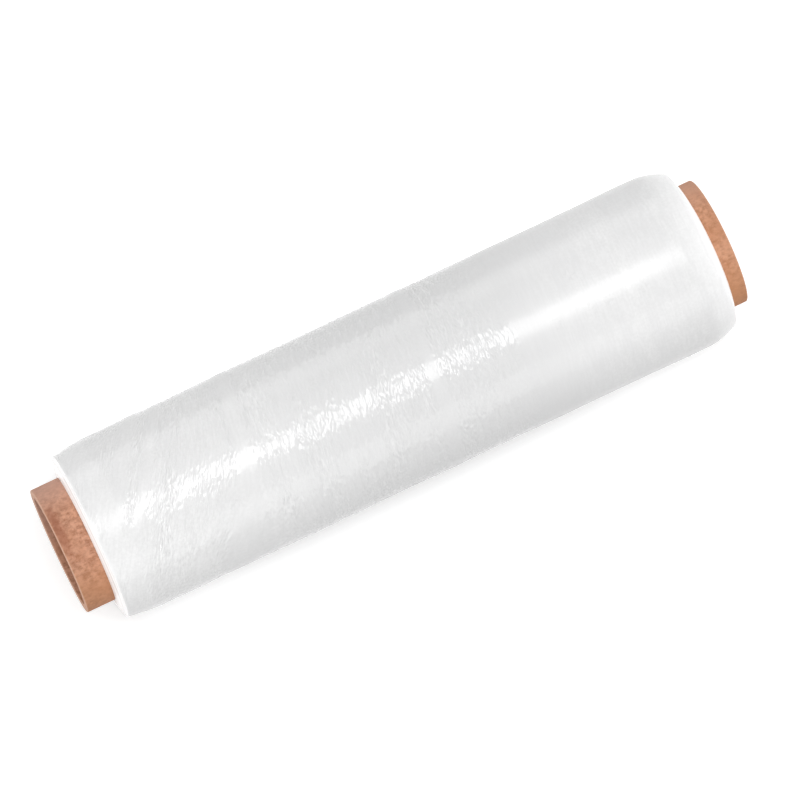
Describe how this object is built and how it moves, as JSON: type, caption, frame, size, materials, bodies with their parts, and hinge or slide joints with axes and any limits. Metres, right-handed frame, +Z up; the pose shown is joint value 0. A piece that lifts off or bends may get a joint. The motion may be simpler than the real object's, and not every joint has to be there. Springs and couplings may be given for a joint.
{
  "type": "roll of body wrap film",
  "caption": "Roll of thin pale film wound on a cardboard core that stands out of it at both ends; the core's bore takes a dispenser's spindle, and the roll lies on its side.",
  "frame": {"origin": "on the surface that the roll lies on, under the middle of the core's length", "axes": "+X along the core, towards its shorter overhang; +Y across the roll, level; +Z up"},
  "size_m": [0.3208, 0.0814, 0.0809],
  "materials": {
    "core_board": "matt spiral-wound board, lightly mottled",
    "film": "clear film that looks milky white in many turns, glossy, finely wrinkled"
  },
  "bodies": {
    "root": {"cardboard_core": "core_board", "wound_film": "film"}
  },
  "joints": []
}
